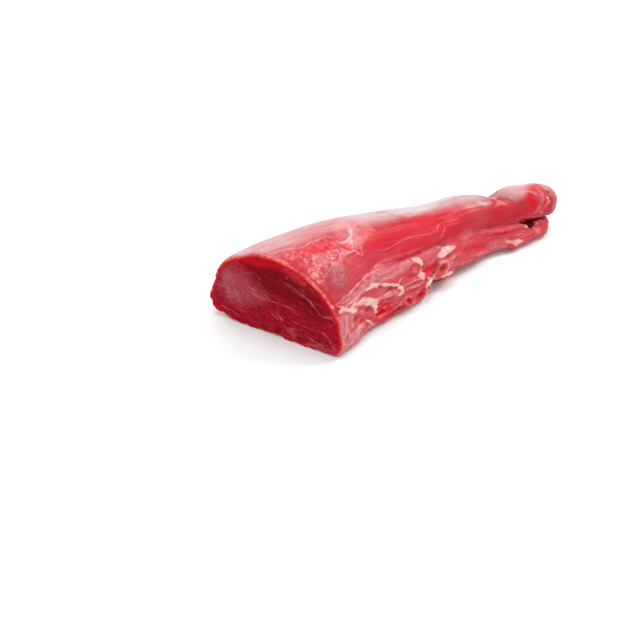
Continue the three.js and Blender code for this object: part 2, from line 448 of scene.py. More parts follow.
SHOULDER_MARKS = lines(
    Layer.SILVERSKIN_AND_SHEEN,
    ("white vein", ((348, 224), (350.5, 231), (349.5, 238), (345, 242.5)), 3.0, 1.0, 0.2),
    ("vein branch", ((350, 237), (352.5, 243), (353, 248)), 2.4, 0.6, 0.15),
    ("vein twig", ((343.5, 226.5), (349.5, 231.5), (354, 228), (357, 225)), 1.8, 0.6, 0.1),
    ("foot of the vein", ((349, 239), (344, 242), (339.5, 242.5)), 2.2, 0.7, 0.1),
) + patches(
    Layer.PALE,
    ("pink membrane", ((332, 230), (340, 223), (354, 222), (367, 223), (373, 230), (365, 238), (361, 246),
     (352, 250), (342, 243)), 3.0, 0.3),
    ("pale swirl", ((312, 257), (318, 262), (324, 266), (329, 262), (326, 256), (318, 255)), 3.0, 0.25,
     0.1),
) + patches(
    Layer.RAW,
    ("red spot", ((341.5, 245), (347, 243.8), (351.5, 246), (350, 249), (345, 249)), 1.4, 0.75, -0.3),
    ("bright tear", ((300, 251), (314, 246), (326, 243), (334, 243), (333, 249), (318, 252), (306, 255)),
     2.5, 0.4),
) + lines(
    Layer.SHADE,
    ("shade of the red spot", ((343, 246.5), (347, 246), (350, 247.5)), 3.0, 0.14),
    ("hole in the curl", ((329, 260), (331, 264), (328, 269)), 2.6, 0.4, -0.4),
    ("shadow over the tear", ((268, 252), (284, 248), (297, 247), (309, 241.5)), 1.3, 0.3, -0.15),
) + lines(
    Layer.PALE,
    ("torn edge", ((339, 255), (345, 251.5), (349, 252.6), (356, 251.3), (361.5, 256)), 1.5, 0.7, 0.25),
    ("lower curl", ((331, 266), (335, 263.5), (339, 266)), 1.5, 0.6, 0.3),
    ("upper edge of the tear", ((262, 255.5), (274, 253.5), (287, 250), (302, 247.5), (314, 241.5),
     (327, 237.5), (336, 238)), 1.6, 0.42, 0.25),
    ("curved line", ((365.5, 238), (361.5, 246), (361.5, 250), (363, 256)), 1.3, 0.6, 0.1),
    ("short line", ((371.5, 226), (374.5, 231)), 1.2, 0.5),
    ("membrane line", ((357, 234), (366, 231), (378, 229.5)), 1.2, 0.15),
    ("arc of the swirl", ((313, 254.5), (312.5, 259), (316, 264), (323, 267)), 1.3, 0.5, 0.2),
    ("second arc of the swirl", ((317, 256), (318, 261), (324, 264)), 1.2, 0.45, 0.15),
    ("streak in the spot", ((334, 269), (335.5, 276), (338, 283)), 1.3, 0.5, 0.2),
    ("second streak in the spot", ((340, 266), (342.5, 272), (342, 280)), 1.3, 0.4, 0.2),
) + lines(
    Layer.FAT,
    # painted highlight on the torn curl, laid in the fat's cream
    ("curl", ((330, 260), (333, 259), (336.5, 258.8)), 2.2, 0.9, 0.5),
) + patches(
    Layer.PURPLE,
    ("satin flank", ((350, 262), (362, 258), (368, 266), (360, 276), (350, 290), (342, 300), (346, 282)),
     6.0, 0.35),
    ("purple spot", ((328, 268), (336, 262), (345, 267), (348, 278), (341, 288), (331, 282)), 5.0, 0.8),
) + patches(
    Layer.SHADE,
    ("shade of the spot", ((322, 276), (332, 268), (346, 272), (344, 292), (331, 295)), 8.0, 0.32),
) + patches(
    Layer.MOTTLE,
    ("torn membrane", ((262, 257), (290, 251), (314, 243), (333, 239), (346, 246), (352, 254), (347, 264),
     (333, 272), (322, 282), (312, 274), (298, 262)), 6.0, 1.0),
    ("fine tear of the spot", ((322, 280), (333, 270), (347, 264), (345, 288), (336, 300), (328, 292)), 5.0,
     0.4),
)

HUMP = ((434, 222), (441, 214), (456, 209), (466, 211), (458, 219), (444, 225))

BAND_MARKS = patches(
    Layer.PURPLE,
    ("lilac film beside the vein", ((349, 227), (356, 226), (358, 234), (355, 243), (350, 243)), 3.0, 0.85),
    ("grey spot", ((461, 237), (466, 230), (472, 229), (472, 236), (468, 244), (463, 248)), 3.0, 0.5),
) + patches(
    Layer.RAW,
    # painted light along the band of the flank that the light falls on, laid in the raw red
    ("bright band", ((366, 240), (384, 232), (410, 222), (440, 213), (458, 210), (460, 218), (440, 227),
     (410, 236), (385, 246), (368, 250)), 7.0, 0.3),
    ("wet hump", HUMP, 5.0, 0.95),
) + patches(
    Layer.SHADE,
    ("dark far flank", ((446, 226), (465, 215), (490, 208), (515, 208), (525, 214), (505, 221), (480, 229),
     (455, 238)), 7.0, 0.13),
    ("shade over the seam", ((383, 263), (401, 256.5), (416, 251.5), (432, 244), (445, 238), (446, 243),
     (430, 249.5), (414, 256), (398, 262)), 2.2, 0.35),
    ("far shade", ((452, 236), (470, 228), (490, 222), (512, 219), (512, 224), (490, 228), (470, 234)), 3.0,
     0.22),
    # painted shade over the hump, which also dulls its coat
    ("matt hump", HUMP, 5.0, 0.24),
) + lines(
    Layer.PALE,
    ("fine line", ((374, 251.5), (387, 248.8), (397, 244), (406, 239.5), (416, 236.5), (429, 234),
     (439, 230.5)), 1.2, 0.28, 0.12),
    ("tick", ((438.8, 223), (437, 230.5)), 1.2, 0.45),
    ("second tick", ((445.5, 226.5), (443.5, 231), (441, 237)), 1.2, 0.45),
) + lines(
    Layer.SHADE,
    ("dark line under the band", ((372, 253), (387, 250.5), (402, 244.5)), 1.4, 0.25, -0.1),
)

SEAM_MARKS = lines(
    Layer.SHADE,
    ("dark seam", ((385, 262.5), (401, 259), (416, 254.5), (426, 249), (436, 245), (446, 239)), 2.8, 0.32,
     -0.8),
    ("far seam", ((470, 232), (485, 228.5), (500, 225), (512, 223)), 1.4, 0.4, -0.4),
    ("seam shadow", ((333, 306), (344, 296), (353, 287.5), (362, 279)), 1.2, 0.3, -0.35),
) + lines(
    Layer.PALE,
    ("upper edge of the strap", ((336, 304), (345, 297), (353.5, 289), (361, 281.5), (368, 275.5),
     (377, 269.5), (384, 265.5)), 1.8, 0.7, 0.5),
    ("second line", ((343, 303.5), (358, 292), (370, 281.5), (381, 274.5), (392, 269)), 1.5, 0.6, 0.35),
    ("third line", ((350, 303), (362, 293.5), (374, 281)), 1.4, 0.5, 0.3),
    ("fourth line", ((358, 296), (372, 287), (390, 277), (410, 268)), 1.3, 0.45, 0.3),
) + patches(
    Layer.PURPLE,
    ("strap silverskin", ((340, 304), (352, 293), (363, 282), (378, 272), (398, 263), (418, 256),
     (436, 248), (432, 254), (417, 260), (408, 268), (392, 277), (376, 282), (366, 292), (350, 302)), 2.5,
     0.9),
)

STRAP_MARKS = patches(
    Layer.PURPLE,
    ("front membrane", ((341, 314), (347, 314), (354, 315), (353, 326), (350, 340), (344, 352), (340, 340)),
     2.0, 0.8),
    ("dull foot of the strap", ((358, 336), (363, 329.5), (372, 325), (375, 328), (367, 335), (359, 340)),
     1.6, 0.6),
    ("dull lean inside the hook", ((374, 289), (386, 287.5), (397, 289), (396, 296), (384, 297),
     (375, 296)), 2.0, 0.35),
) + lines(
    Layer.PALE,
    ("front streak", ((347, 314), (347, 328), (343, 350)), 2.0, 0.6, 0.3),
    ("second front streak", ((353, 316), (351, 330), (347, 345)), 1.6, 0.5, 0.25),
    ("third front streak", ((360, 318), (356, 330), (350, 350)), 1.8, 0.5, 0.3),
    ("wet edge of the tear", ((374, 319), (381, 316.5), (388, 312)), 1.3, 0.45, 0.2),
    ("rim of the knot", ((407, 293.5), (405, 299), (407, 304.5), (412, 304), (413.5, 299)), 1.3, 0.4, 0.35),
    ("edge of the lobe", ((429.5, 287), (428, 292), (423, 299), (416, 303.5)), 1.6, 0.7, 0.3),
    ("low streak", ((392, 309), (400, 303), (404, 300)), 1.3, 0.4, 0.2),
    ("curl of the strap", ((438, 268), (441, 264.5), (445.5, 262), (448.5, 264), (448, 269), (444.5, 272)),
     1.6, 0.65, 0.5),
    ("strand over the curl", ((433, 277), (438, 271), (441, 263), (446, 258)), 1.3, 0.5, 0.25),
    ("strand", ((379, 296), (390, 293.5), (398, 296)), 1.1, 0.35, 0.15),
    ("second strand", ((403, 287), (412, 282), (420, 278)), 1.6, 0.55, 0.3),
    ("strand below it", ((405, 291), (414, 287), (424, 281.5)), 1.6, 0.6, 0.3),
    ("third strand", ((384, 280), (396, 275.5), (408, 272), (416, 268)), 1.2, 0.3, 0.15),
    ("low pink", ((358, 334), (366, 328), (378, 322.5)), 1.6, 0.35, 0.1),
) + patches(
    Layer.RAW,
    ("torn red", ((374, 312), (380, 305), (389, 303), (394, 306), (390, 313), (382, 318), (375, 319)), 1.8,
     0.9, 0.3),
    ("wet foot of the tear", ((376, 321), (383, 317), (391, 311), (395, 312), (387, 319), (378, 325)), 1.6,
     0.55),
    ("red pit in the corner", ((338, 346), (341, 345), (342, 348), (339, 349)), 1.4, 0.7, -0.6),
    ("torn knot", ((405, 297), (409, 295.5), (413, 299), (411, 303.5), (406, 303)), 1.2, 1.0, 0.3),
    ("lobe red", ((417, 296), (420, 290), (427, 286.5), (426.5, 291), (422, 297), (417, 301)), 2.0, 0.9,
     -0.4),
    ("hollow red", ((424, 270), (430, 266), (437, 261), (439, 264), (434, 272), (428, 275)), 2.4, 0.8,
     -0.7),
    ("lobe of the strap", ((433, 281), (437, 275), (446, 274), (453, 272), (451, 276), (443, 281)), 3.0,
     0.85, 1.2),
    ("wet lean in the curl", ((439, 266), (443, 263), (448, 264), (448, 269), (443, 271), (439, 270)), 2.0,
     0.6),
) + lines(
    Layer.SHADE,
    ("tear", ((377, 316), (381, 313), (386, 311)), 2.4, 0.42, -0.8),
    ("second tear", ((377, 305), (383, 304.5), (389, 304)), 1.8, 0.45, -0.5),
    ("shade of the dull foot", ((358, 336), (363, 330), (369, 326.5)), 2.0, 0.35, -0.5),
    ("third tear", ((373, 309), (376, 313), (377, 317)), 1.6, 0.5, -0.3),
    ("fold under the fat", ((361, 309), (367, 310.5), (372, 309.5)), 1.8, 0.45, -0.4),
    ("pit in the knot", ((407.5, 297), (409, 300), (410, 302)), 2.4, 0.4, -0.6),
    ("shade in the lobe", ((419, 296), (422, 292), (426, 288)), 3.0, 0.4),
    ("shade in the hollow", ((426, 270), (432, 267), (437, 263)), 5.0, 0.25),
    ("notch", ((430.5, 289), (432.5, 284), (434, 280)), 2.2, 0.6, -1.6),
    ("dark foot of the lobe", ((431, 283.5), (438, 284), (446, 281.5), (452, 276.5)), 2.6, 0.6),
    ("inside of the curl", ((440.5, 269), (442, 266), (445, 264)), 1.6, 0.5, -0.5),
    ("shade under the curl", ((448, 271), (455, 268), (462, 265)), 1.8, 0.4, -0.3),
    ("grey fold", ((374, 277.5), (378, 276)), 2.2, 0.45, -0.3),
    ("furrow between the strands", ((404, 289), (413, 284.5), (421, 280.5)), 1.6, 0.4, -0.4),
    ("furrow below the strands", ((406, 293), (415, 289.5), (424, 284.5)), 1.6, 0.4, -0.4),
    ("short furrow", ((408, 277), (413, 275), (418, 274)), 1.6, 0.4, -0.4),
    ("low shade", ((392, 314), (398, 308.5), (404, 306)), 1.8, 0.5, -0.3),
) + patches(
    Layer.PALE,
    ("soft fat above the foot", ((364, 324), (358, 327), (352, 335), (347, 344), (352, 346), (357, 339),
     (362, 331)), 3.0, 0.6, 0.2),
) + patches(
    Layer.SHADE,
    ("dark foot below the knot", ((390, 314), (394, 307), (402, 304), (406, 306), (399, 311), (392, 316)),
     2.4, 0.3),
    ("soft shade of the fan", ((354, 287), (362, 280), (373, 279), (376, 286), (368, 295), (357, 296)), 4.0,
     0.1),
) + patches(
    Layer.EDGE,
    ("torn corner", ((335.5, 343), (341, 341), (347, 344), (349, 350), (344, 355), (338, 356)), 2.4, 0.55,
     0.4),
)

FAR_STRAP_MARKS = lines(
    Layer.PALE,
    # the two light ridges are painted highlights along the ridges of the far strap
    ("upper light ridge", ((475, 229), (487, 230.5), (500, 230.5), (510, 228.5), (519, 225.5)), 2.4, 0.18,
     0.3),
    ("lower light ridge", ((468, 256), (482, 254), (495, 250.5), (508, 246)), 1.8, 0.4, 0.3),
    ("streak to the flap", ((519, 237), (529, 233.5), (537, 229.5)), 1.6, 0.3, 0.2),
) + patches(
    Layer.RAW,
    ("wet band under the ridge", ((495, 231), (507, 229.5), (519, 226.5), (518.5, 231), (506, 235),
     (495, 235.5)), 2.0, 0.7),
    ("wet red under the groove", ((474, 236), (488, 237.5), (502, 235.5), (519, 231), (517, 235),
     (500, 240), (486, 242), (474, 241)), 3.0, 0.25, -0.3),
    ("red hollow of the strap", ((470, 244), (478, 241.5), (488, 243), (486, 247), (478, 250.5),
     (470, 249)), 3.4, 0.6, -0.5),
    ("low red of the strap", ((455, 258), (470, 254), (484, 251), (480, 256), (468, 262), (458, 266)), 3.0,
     0.3),
    ("red nub", ((508, 246.5), (514, 245.5), (519.5, 246.5), (517, 249), (510, 249.5)), 1.4, 0.8, 0.5),
) + lines(
    Layer.SHADE,
    ("groove under the ridge", ((472, 233.5), (487, 235.7), (500, 234), (518, 229.5)), 1.6, 0.35, -0.4),
    ("depth of the strap's hollow", ((471, 247), (478, 247), (485, 245)), 4.4, 0.24),
    ("lower lip", ((462, 266), (474, 260), (486, 254.5)), 1.6, 0.4, -0.2),
    ("shade of the nub", ((507, 249), (513, 249.8), (519, 248.5)), 2.0, 0.4),
) + patches(
    Layer.PALE,
    ("light side of the strap", ((490, 243), (500, 240), (508, 240), (506, 245), (496, 249), (489, 248)),
     3.0, 0.26),
    ("pale end of the flap", ((533, 228), (538, 226.5), (541, 229), (537, 232.5)), 1.4, 0.5),
)

TAIL_MARKS = patches(
    Layer.SHADE,
    ("depth of the slit", ((518.5, 222.3), (525, 220.3), (532, 219), (537.5, 217.8), (539, 219.5),
     (535.5, 222.5), (533.5, 226), (530.5, 227.7), (527, 225.5), (523, 223.8)), 0.9, 1.0, -1.2),
    ("dark lobe", ((516, 196), (526, 186), (540, 181), (556, 187), (561, 203), (552, 218), (532, 214),
     (518, 208)), 4.0, 0.14),
) + lines(
    Layer.SHADE,
    ("end of the slit", ((537, 219), (542, 217.6), (547, 216.6)), 2.6, 0.6, -1.2),
    ("line into the slit", ((503, 225), (511, 224), (519, 222.3)), 1.5, 0.5, -0.4),
    ("grey edge of the film", ((446, 198.6), (458, 196.4), (470, 196.2), (484, 197), (495, 197.8)), 1.2,
     0.25, -0.2),
    ("furrow by the wrinkle", ((474, 196), (480, 199), (487, 201.5), (494, 203)), 1.3, 0.34, -0.5),
    ("short furrow by it", ((484, 198), (490, 200), (496, 200.6)), 1.2, 0.28, -0.3),
    ("furrow of the lobe", ((495, 197), (502, 198.6), (509, 200.5), (515, 204)), 1.6, 0.36, -0.6),
    ("depth of the hollow", ((530, 198), (533, 203), (535, 208)), 6.0, 0.28),
    ("dark ring", ((543, 189.5), (548, 193), (551, 201), (548.5, 210)), 1.8, 0.35, -1.0),
    ("shade of the rim", ((551, 188.5), (556.5, 196), (557.5, 204), (553, 214.5)), 2.0, 0.4),
) + patches(
    Layer.SILVERSKIN_AND_SHEEN,
    ("white wrinkle", ((473, 198), (478, 197), (485, 199.5), (492, 202.5), (487, 205.5), (479, 203.5)), 2.4,
     0.75, 0.3),
    ("pink sheen of the lobe", ((498, 192), (507, 184.5), (520, 181.5), (527, 186), (523, 195), (514, 200),
     (504, 197)), 5.0, 0.6),
) + patches(
    Layer.PALE,
    ("second wrinkle", ((496, 200), (502, 201.5), (508, 205), (500, 204)), 1.8, 0.45, 0.2),
    ("pink of the lobe", ((499, 192), (508, 185), (520, 182), (528, 187), (524, 195), (514, 200),
     (504, 197)), 5.0, 0.5),
) + patches(
    Layer.RAW,
    ("red foot of the lobe", ((492, 204), (500, 204), (512, 205), (518, 211), (506, 213), (494, 209)), 4.0,
     0.2),
    ("wet flap", ((520, 233), (535, 226), (546, 221), (548, 229), (536, 237), (522, 239)), 3.0, 0.5),
    ("red hollow of the lobe", ((525, 194), (530, 192), (536, 197), (540, 204), (537, 210), (532, 208),
     (527, 202)), 3.4, 0.95, -0.9),
    ("red above the hollow", ((532, 185), (540, 187), (544, 193), (541, 198), (535, 193)), 4.0, 0.4),
    ("wet lean in the ring", ((544, 191), (549, 196), (550, 204), (546, 211), (543, 206), (545, 198)), 1.6,
     0.5),
) + lines(
    Layer.PALE,
    ("ring round the hollow", ((531, 187), (538.5, 190), (542.3, 195.5), (541, 204), (536, 212),
     (529, 214)), 2.6, 0.22, 0.6),
    ("pale ring", ((545, 194), (547.5, 199), (546, 205), (543, 209)), 2.0, 0.3, 0.4),
    ("pale foot of the ring", ((540, 211.5), (543.5, 213)), 2.2, 0.5, 0.2),
) + lines(
    Layer.FAT,
    ("cream speck", ((547, 196.5), (549, 199.5), (548.5, 203)), 2.2, 0.7, 0.2),
    ("upper cream speck", ((544.5, 188), (547, 190.5)), 1.8, 0.7, 0.2),
) + lines(
    Layer.PURPLE,
    ("outer rim", ((540, 187), (549, 190.5), (553.5, 198), (553, 208), (548, 215.5)), 4.0, 0.85, 0.6),
) + lines(
    Layer.SILVERSKIN_AND_SHEEN,
    ("grey top of the rim", ((538, 185.5), (545, 186.5), (552, 191)), 3.0, 0.4),
)

CUT_MARKS = lines(
    Layer.PALE,
    ("long marbling", ((281, 282), (290, 286.5), (302, 295), (310.5, 302.5), (316, 310), (321.5, 317.5)),
     1.3, 0.75),
    ("marbling to the rim", ((321.5, 317.5), (329, 318), (336, 320)), 1.6, 0.85),
    ("low marbling", ((319, 331), (327.5, 337.5), (332.5, 347), (339.5, 353)), 1.3, 0.85),
    ("left marbling", ((260, 291), (266, 296.5), (273, 302), (283, 305), (292, 309), (297, 315)), 1.2,
     0.65),
    ("upper left marbling", ((247, 284), (254, 290.5), (261, 294)), 1.2, 0.6),
    ("short marbling", ((277, 312), (280, 316), (283, 320)), 1.2, 0.7),
    ("level marbling", ((284, 326), (292, 329.5), (302, 330)), 1.2, 0.6),
    ("lowest marbling", ((306, 336), (314, 341), (320, 345), (328, 346)), 1.3, 0.8),
    ("speck", ((287, 278), (288, 279)), 1.6, 0.6),
    ("white speck", ((224, 281), (225, 282)), 1.8, 0.7),
    ("right speck", ((329.5, 325), (330.5, 326)), 1.8, 0.5),
    ("streak over the sheen", ((240, 275), (246, 272), (254, 274), (262, 281)), 1.3, 0.4),
    ("second streak over it", ((250, 290), (258, 296), (264, 299)), 1.6, 0.5),
    ("line over the underside", ((290, 346), (306, 344), (322, 347), (339, 354.5)), 1.3, 0.7),
    side=Side.CUT,
) + lines(
    Layer.SHADE,
    ("dark spot", ((256, 308), (260, 307)), 3.0, 0.6, -0.3),
    side=Side.CUT,
) + patches(
    Layer.RIM,
    ("red top of the rim", ((240, 262), (248, 257), (262, 257), (277, 259), (292, 267), (305, 281),
     (300, 283), (287, 274), (272, 267), (260, 268), (248, 263)), 3.0, 0.85),
    side=Side.CUT,
) + patches(
    Layer.PALE,
    ("pink part of the rim", ((283, 264), (292, 269), (300, 277), (306, 284), (301, 284), (292, 277),
     (284, 270)), 3.0, 0.5),
    side=Side.CUT,
) + patches(
    Layer.PURPLE,
    ("dull sheen", ((219, 274), (226, 266), (236, 268), (247, 277), (259, 287), (266, 298), (254, 304),
     (237, 301), (222, 290)), 9.0, 0.65),
    ("bright sheen", ((221, 276), (228, 268), (234, 274), (238, 288), (244, 298), (234, 300), (223, 289)),
     5.0, 1.0),
    ("underside at the corner", ((290, 349), (306, 345), (322, 348), (341, 356), (341, 362), (290, 362)),
     1.2, 0.7),
    side=Side.CUT,
) + patches(
    Layer.SHADE,
    ("dark top of the cut", ((246, 266), (262, 262), (285, 269), (303, 284), (316, 300), (326, 320),
     (312, 318), (294, 304), (272, 296), (254, 284)), 9.0, 0.72),
    side=Side.CUT,
)

FAT_MARKS = patches(
    Layer.FAT,
    ("big fat patch", ((339, 309.5), (344, 307), (350, 308), (354, 303), (360, 299.5), (366, 297.5),
     (374, 299.5), (379.5, 298.5), (377.5, 304), (375.5, 313), (372.5, 306.5), (366, 305.5), (360, 304.5),
     (356, 308), (357.5, 311.5), (353, 313.5), (347, 311), (341, 313)), 1.6, 0.92, 0.5),
    ("bright fat patch", ((437.5, 255.5), (440.5, 251), (442.5, 247.3), (448.5, 246.3), (455, 246),
     (450.5, 251), (445.5, 255.5), (441.5, 258.2)), 1.4, 1.0, 0.6),
    ("fat by the nub", ((505.5, 240.5), (512, 241), (519, 239.5), (522.5, 240.5), (518.5, 244),
     (515.5, 245.8), (513, 243.5), (508, 242.5)), 1.2, 0.9, 0.4),
) + lines(
    Layer.FAT,
    ("wisp of fat", ((347, 306), (352, 301), (359, 297.5)), 1.8, 0.6, 0.3),
    ("fat at the rim", ((330.5, 305.5), (335, 308.5)), 1.8, 1.0, 0.3),
    ("thin fat left of the patch", ((336, 305), (341, 307), (346, 305.5)), 1.6, 0.7, 0.3),
    ("hook of fat", ((366, 290), (370, 288.5), (374, 286), (379, 284.5), (386, 285), (393, 284.5),
     (399, 286), (402.5, 289.5), (401.5, 293), (398.5, 294.5)), 3.3, 1.0, 0.6),
    ("upper tip of the hook", ((368, 285.5), (373, 284.5), (378, 284)), 1.8, 0.8, 0.3),
    ("end of the hook", ((398, 287), (402.5, 291), (398, 295)), 5.0, 1.0, 0.3),
    ("spur of the hook", ((398.5, 285), (400.5, 279.5)), 1.4, 0.8, 0.2),
    ("fat over the gap", ((412, 259), (418, 260.5), (423, 264.5)), 5.6, 0.9, 0.4),
    ("fat knob", ((419, 271), (421, 275), (423.5, 279)), 7.5, 0.9, 0.7),
    ("strand of fat", ((434.5, 274.5), (431, 281), (427, 288)), 4.4, 1.0, 0.5),
    ("second strand of fat", ((427, 276), (430, 279.5), (430, 283)), 2.0, 0.7, 0.3),
    ("fat beside the knob", ((437, 257), (439.5, 254.5)), 1.6, 0.7),
    ("pale fat line", ((441, 276), (446, 273.5), (452, 272.5)), 2.6, 0.9, 0.4),
    ("low strip of fat", ((363, 323.5), (359, 328), (356.5, 332)), 1.8, 0.7, 0.3),
    ("low fat bit", ((366, 321), (370, 322), (375, 325.5)), 2.4, 0.85, 0.3),
    # these two cream specks are fat, and partly painted glints
    ("fat in the slit", ((525, 225), (527.5, 227)), 2.4, 0.9, 0.4),
    ("fat on the flap", ((534.5, 223.3), (538, 222.5)), 1.8, 0.7, 0.3),
) + lines(
    Layer.PALE,
    ("pale bridge below the gap", ((422, 264), (421.5, 268), (420, 271)), 3.0, 0.4, 0.2),
)

ALL_MARKS = (
    BACK_MARKS + FILM_STREAKS + SHOULDER_MARKS + BAND_MARKS + SEAM_MARKS + STRAP_MARKS + FAR_STRAP_MARKS
    + TAIL_MARKS + CUT_MARKS + FAT_MARKS
)


def vertex_places(mesh: bpy.types.Mesh) -> np.ndarray:
    """Returns where a mesh's vertices are, one row each."""
    flat = np.empty(len(mesh.vertices) * 3)
    mesh.vertices.foreach_get("co", flat)
    return flat.reshape(-1, 3)


class Skin:
    """The meat's fine mesh as arrays, to be marked and moved.

    Attributes:
        mesh: The mesh.
        corner: The front corner of the cut in the frame, in metres.
        view: The photograph's camera.
        points: Places in mm from the front corner of the cut.
        normals: Outward directions.
        facing_cut: How nearly each direction is the cut face's, up to 1.
        ends: The two vertices of each edge.
        links: How many edges meet at each vertex.
        layers: How much of each layer there is at each vertex.
        height: How far each vertex is to move out, in mm.
        flow: Coordinates in mm along and across the fibres.
        face: How surely each vertex is on the cut, once mark_cut has run.
        near_rim: How near each is to the cut's rim, once mark_cut has run.
    """

    def __init__(self, piece: bpy.types.Object, corner: np.ndarray, view: PhotoView) -> None:
        """Reads the mesh.

        Args:
            piece: The meat.
            corner: The front corner of the cut in the frame, in metres.
            view: The photograph's camera.
        """
        self.mesh = piece.data
        self.corner = corner
        self.view = view
        self.points = (vertex_places(self.mesh) - corner) / MM
        count = len(self.points)
        normals = np.empty(count * 3)
        self.mesh.vertex_normals.foreach_get("vector", normals)
        self.normals = normals.reshape(-1, 3)
        self.facing_cut = self.normals @ CUT_NORMAL
        ends = np.empty(len(self.mesh.edges) * 2, int)
        self.mesh.edges.foreach_get("vertices", ends)
        self.ends = ends.reshape(-1, 2)
        self.links = np.bincount(ends, minlength=count)
        self.layers = {layer: np.zeros(count) for layer in Layer}
        self.height = np.zeros(count)
        self.flow = self.follow_fibres()

    def follow_fibres(self) -> np.ndarray:
        """Returns coordinates in mm along and across the fibres, and slantwise over the cut face."""
        x, y, z = self.points.T
        half_slab = 5.0
        stations = np.arange(half_slab, LENGTH, 2 * half_slab)
        middles = []
        for station in stations:
            slab = np.abs(x - station) < half_slab
            middles.append(((y[slab].min() + y[slab].max()) / 2, 0.4 * z[slab].max()))
        middle_y, middle_z = np.array(middles).T
        turn = np.arctan2(z - np.interp(x, stations, middle_z), y - np.interp(x, stations, middle_y))
        radius = 38.0
        across = radius * np.mod(turn + 0.5 * np.pi, 2.0 * np.pi)
        clear_of_turn = 8.0
        up_strap = radius * (clear_of_turn + z / self.strap_top())
        across = np.where(self.strap_share() > 0.5, up_strap, across)
        on_cut = self.facing_cut > 0.8
        level, steep = 0.95, 0.31
        along = np.where(on_cut, level * y + steep * z, x)
        across = np.where(on_cut, level * z - steep * y, across)
        return np.stack([along, across, np.zeros(len(x))], axis=1)

    def spread(self, values: np.ndarray, rounds: int) -> np.ndarray:
        """Evens values out over the mesh.

        Args:
            values: One number for each vertex.
            rounds: How many times each vertex takes on its neighbours' mean.

        Returns:
            The evened values.
        """
        first, second = self.ends.T
        for _ in range(rounds):
            total = np.bincount(first, values[second], len(values))
            total += np.bincount(second, values[first], len(values))
            values = 0.5 * values + 0.5 * total / self.links
        return values

    def mark_cut(self) -> None:
        """Finds the cut face and the band along its rim."""
        behind = -(self.points @ CUT_NORMAL)
        flat = ((behind < 0.6) & (self.facing_cut > 0.7)).astype(float)
        self.face = self.spread(flat, 10)
        self.layers[Layer.CUT] = ramp(self.face, 0.35, 0.65)
        wide = self.spread(flat, 26)
        self.near_rim = 1.0 - np.abs(2.0 * wide - 1.0)
        wide += 0.12 * self.near_rim * RIM_BENDS.at(self.points)
        # Painted light: where the rolled edge faces up, its light coral band reaches wider.
        lean = 0.25 * ramp(self.normals[:, 2], 0.0, 0.5)
        uneven = 0.4 + 0.6 * ramp(RIM_WEAR.at(self.points), -0.25, 0.2)
        self.layers[Layer.EDGE] = uneven * ramp(wide + 0.4 * lean, 0.26, 0.42) * ramp(wide - lean, 0.72, 0.42)
        # The rim band's bright red is partly a painted glow of light through the rounded edge.
        raised = 0.3 + 0.7 * ramp(self.points[:, 2], 2.0, 9.0)
        self.layers[Layer.RIM] = raised * ramp(wide, 0.45, 0.6) * ramp(wide, 0.99, 0.86)

    def draw(self, marks: tuple[Mark, ...]) -> None:
        """Casts the marks onto the surface that the photograph's camera sees.

        Args:
            marks: The marks; where they overlap, the strongest of a layer counts.
        """
        toward = self.view.place() - self.points
        toward /= np.linalg.norm(toward, axis=1)[:, None]
        seen = ramp(np.sum(self.normals * toward, axis=1), 0.0, 0.12)
        on_cut = ramp(self.face, 0.3, 0.7)
        sides = {Side.CUT: seen * on_cut, Side.OUTSIDE: seen * (1.0 - on_cut)}
        pixels = self.view.pixels(self.points)
        for size, amount in MARK_WAVES:
            shifts = [Ripple((size, size, size), seed).at(self.points) for seed in MARK_SEEDS]
            pixels = pixels + amount * np.stack(shifts, axis=1)
        for mark in marks:
            weight = mark.weight(pixels) * sides[mark.side]
            self.cover(mark.layer, weight)
            self.height += mark.relief * weight / mark.strength

    def grow(self, relief: Relief) -> None:
        """Adds what covers the whole piece: silverskin that is also a painted sheen, fibres, mottles, painted
        shade and light in folds and on ridges, and the grain of the cut.

        Args:
            relief: How high its waves are.
        """
        x, y, z = self.points.T
        facing_back, facing_up = self.normals[:, 1], self.normals[:, 2]
        streaks, threads, shreds = (ripple.at(self.flow) for ripple in (STREAKS, THREADS, SHREDS))
        clouds, lumps, pits = (ripple.at(self.points) for ripple in (CLOUDS, LUMPS, PITS))
        cut = self.layers[Layer.CUT]
        outside = 1.0 - cut
        back = ramp(facing_back + 0.1 * streaks + 0.12 * clouds, -0.02, 0.3) * outside
        upward = ramp(facing_up, -0.75, -0.1)
        below = ramp(facing_up, -0.3, -0.7) * outside
        tail = ramp(x, 188.0, 206.0) * ramp(z, 20.0, 34.0)
        strap = self.spread(self.strap_share() * outside, 4)
        hidden_fat = back * ramp(z, 16.0, 5.0) * ramp(clouds + 0.6 * lumps, 0.25, 0.5)
